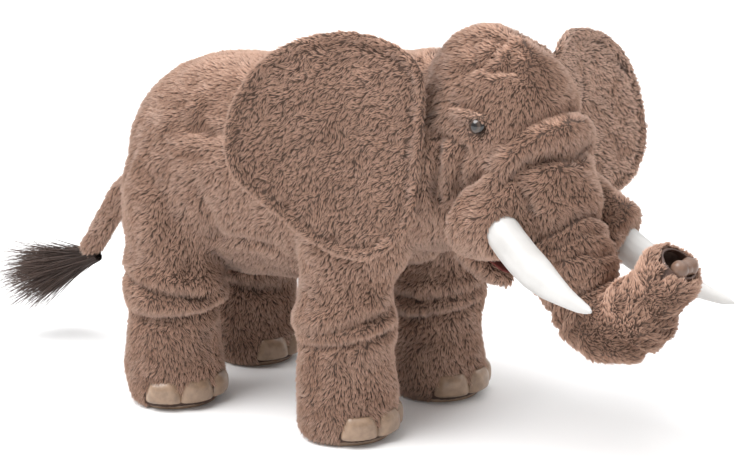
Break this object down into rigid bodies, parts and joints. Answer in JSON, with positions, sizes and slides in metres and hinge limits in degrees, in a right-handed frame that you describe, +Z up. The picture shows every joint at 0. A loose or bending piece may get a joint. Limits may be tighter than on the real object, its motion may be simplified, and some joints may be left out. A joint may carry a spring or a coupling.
{
  "type": "stuffed elephant",
  "caption": "Standing plush elephant with spread ears, raised trunk, satin tusks, tufted tail and toenailed feet.",
  "frame": {"origin": "centre of the box round the whole elephant, on the surface it stands on", "axes": "+X forwards, +Y to the elephant's left, +Z up"},
  "size_m": [0.6134, 0.3142, 0.2932],
  "materials": {
    "plush": "crushed long-pile plush",
    "stuffing": "polyester fibre filling",
    "tusk_satin": "satin",
    "toenail_leather": "semi-gloss synthetic leather",
    "nostril_lining": "soft-sheen synthetic leather",
    "mouth_lining": "brushed knit",
    "tuft_hair": "glossy straight hair",
    "eye": "polished",
    "washer": "moulded"
  },
  "bodies": {
    "torso": {"torso_right_panel": "plush", "torso_left_panel": "plush", "belly_gusset": "plush", "torso_fill": "stuffing"},
    "head": {"neck_core": "plush", "head_right_panel": "plush", "head_left_panel": "plush", "head_fill": "stuffing", "right_eye": "eye", "left_eye": "eye", "right_eye_washer": "washer", "left_eye_washer": "washer", "right_eyelid": "plush", "left_eyelid": "plush", "mouth_palate": "mouth_lining", "right_tusk_sleeve": "plush", "left_tusk_sleeve": "plush", "right_tusk_cover": "tusk_satin", "left_tusk_cover": "tusk_satin", "right_tusk_fill": "stuffing", "left_tusk_fill": "stuffing"},
    "jaw": {"jaw_skin": "plush", "jaw_fill": "stuffing", "jaw_lining": "mouth_lining"},
    "right_ear": {"right_ear_front": "plush", "right_ear_back": "plush"},
    "left_ear": {"left_ear_front": "plush", "left_ear_back": "plush"},
    "trunk_upper": {"trunk_upper_skin": "plush", "trunk_upper_fill": "stuffing"},
    "trunk_bend": {"trunk_bend_skin": "plush", "trunk_bend_fill": "stuffing"},
    "trunk_tip": {"trunk_tip_skin": "plush", "trunk_tip_fill": "stuffing", "nostril_lining": "nostril_lining", "trunk_tip_lip": "nostril_lining"},
    "tail": {"tail_skin": "plush", "tail_fill": "stuffing", "tail_tuft": "tuft_hair"},
    "front_right_leg": {"front_right_leg_skin": "plush", "front_right_leg_fill": "stuffing", "front_right_sole": "toenail_leather", "front_right_toenails": "toenail_leather"},
    "front_left_leg": {"front_left_leg_skin": "plush", "front_left_leg_fill": "stuffing", "front_left_sole": "toenail_leather", "front_left_toenails": "toenail_leather"},
    "hind_right_leg": {"hind_right_leg_skin": "plush", "hind_right_leg_fill": "stuffing", "hind_right_sole": "toenail_leather", "hind_right_toenails": "toenail_leather"},
    "hind_left_leg": {"hind_left_leg_skin": "plush", "hind_left_leg_fill": "stuffing", "hind_left_sole": "toenail_leather", "hind_left_toenails": "toenail_leather"}
  },
  "joints": [
    {"name": "head_turn", "type": "hinge", "parent": "torso", "child": "head", "pos_m": [0.07712, -0.02159, 0.192], "axis": [0, 0, 1], "range_deg": [-8, 20], "stiffness_Nm_per_rad": 2},
    {"name": "jaw_open", "type": "hinge", "parent": "head", "child": "jaw", "pos_m": [0.12211, -0.03115, 0.15], "axis": [0.2079, 0.9781, 0], "range_deg": [-5, 18], "stiffness_Nm_per_rad": 0.2},
    {"name": "trunk_lift", "type": "hinge", "parent": "head", "child": "trunk_upper", "pos_m": [0.19102, -0.0458, 0.16711], "axis": [0.2079, 0.9781, 0], "range_deg": [-14, 10], "stiffness_Nm_per_rad": 1},
    {"name": "trunk_curl", "type": "hinge", "parent": "trunk_upper", "child": "trunk_bend", "pos_m": [0.21123, -0.05009, 0.12826], "axis": [0.2079, 0.9781, 0], "range_deg": [-12, 12], "stiffness_Nm_per_rad": 0.6},
    {"name": "trunk_tip_curl", "type": "hinge", "parent": "trunk_bend", "child": "trunk_tip", "pos_m": [0.26871, -0.06231, 0.12702], "axis": [0.2079, 0.9781, 0], "range_deg": [-15, 15], "stiffness_Nm_per_rad": 0.3},
    {"name": "right_ear_flap", "type": "hinge", "parent": "head", "child": "right_ear", "pos_m": [0.11627, -0.09231, 0.18], "axis": [0.0177, 0.0831, 0.9964], "range_deg": [-1.5, 55], "stiffness_Nm_per_rad": 0.25},
    {"name": "left_ear_flap", "type": "hinge", "parent": "head", "child": "left_ear", "pos_m": [0.14165, 0.0271, 0.18], "axis": [-0.0177, -0.0831, 0.9964], "range_deg": [-12, 42], "stiffness_Nm_per_rad": 0.25},
    {"name": "tail_lift", "type": "hinge", "parent": "torso", "child": "tail", "pos_m": [-0.17088, -0.02159, 0.148], "axis": [0, 1, 0], "range_deg": [-10, 35], "stiffness_Nm_per_rad": 0.4},
    {"name": "front_right_leg_swing", "type": "hinge", "parent": "torso", "child": "front_right_leg", "pos_m": [0.04612, -0.07859, 0.14], "axis": [0, 1, 0], "range_deg": [-10, 10], "stiffness_Nm_per_rad": 3},
    {"name": "front_left_leg_swing", "type": "hinge", "parent": "torso", "child": "front_left_leg", "pos_m": [0.05612, 0.03541, 0.14], "axis": [0, 1, 0], "range_deg": [-10, 10], "stiffness_Nm_per_rad": 3},
    {"name": "hind_right_leg_swing", "type": "hinge", "parent": "torso", "child": "hind_right_leg", "pos_m": [-0.10388, -0.07859, 0.14], "axis": [0, 1, 0], "range_deg": [-10, 10], "stiffness_Nm_per_rad": 3},
    {"name": "hind_left_leg_swing", "type": "hinge", "parent": "torso", "child": "hind_left_leg", "pos_m": [-0.10988, 0.03541, 0.14], "axis": [0, 1, 0], "range_deg": [-10, 10], "stiffness_Nm_per_rad": 3}
  ]
}
